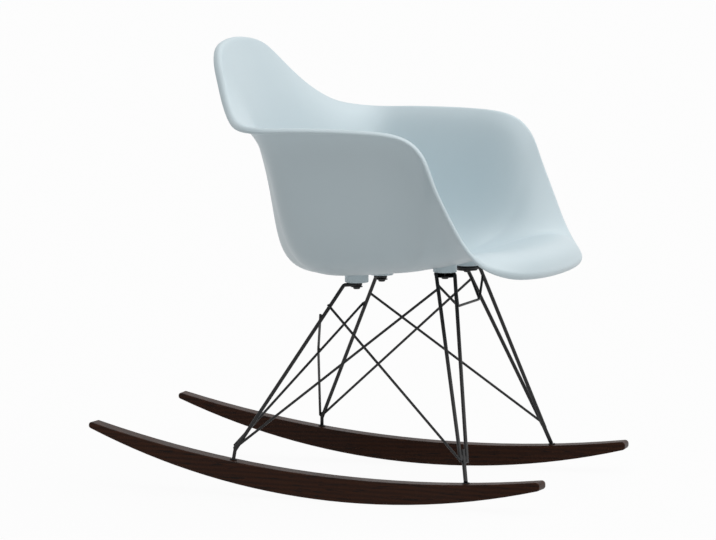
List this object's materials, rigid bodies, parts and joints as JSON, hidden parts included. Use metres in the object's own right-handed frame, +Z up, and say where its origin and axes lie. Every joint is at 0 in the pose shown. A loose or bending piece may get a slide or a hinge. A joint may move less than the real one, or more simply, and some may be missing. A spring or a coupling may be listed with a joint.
{
  "type": "rocking chair",
  "caption": "Moulded plastic armchair shell with a rolled rim on a braced black wire base that stands on two curved dark wooden rockers.",
  "frame": {"origin": "on the floor below the middle of the chair's outline, in its plane of symmetry", "axes": "+Z up; the sitter looks along -Y; +X to the sitter's left"},
  "size_m": [0.632, 0.8116, 0.7596],
  "materials": {
    "shell": "satin moulded plastic, pale ice blue",
    "wire": "black satin powder coat on steel rod",
    "dark_wood": "dark brown stained hardwood, satin lacquer",
    "black_screw": "black oxide steel",
    "brass_insert": "plain machined",
    "plain_steel": "zinc plated"
  },
  "bodies": {
    "root": {"seat_shell": "shell", "shell_inserts": "brass_insert", "mount_screws": "black_screw", "front_mount_washers": "black_screw", "rear_mount_washers": "black_screw", "front_foot_pins": "wire", "rear_foot_pins": "wire", "front_leg_left": "wire", "front_leg_right": "wire", "rear_leg_left": "wire", "rear_leg_right": "wire", "side_brace_outer_left": "wire", "side_brace_outer_right": "wire", "side_brace_inner_left": "wire", "side_brace_inner_right": "wire", "rear_brace_straight": "wire", "rear_brace_bowed": "wire", "front_tie": "wire", "tie_struts": "wire", "rocker_left": "dark_wood", "rocker_right": "dark_wood", "rocker_nuts": "plain_steel", "rocker_washers": "plain_steel"}
  },
  "joints": []
}
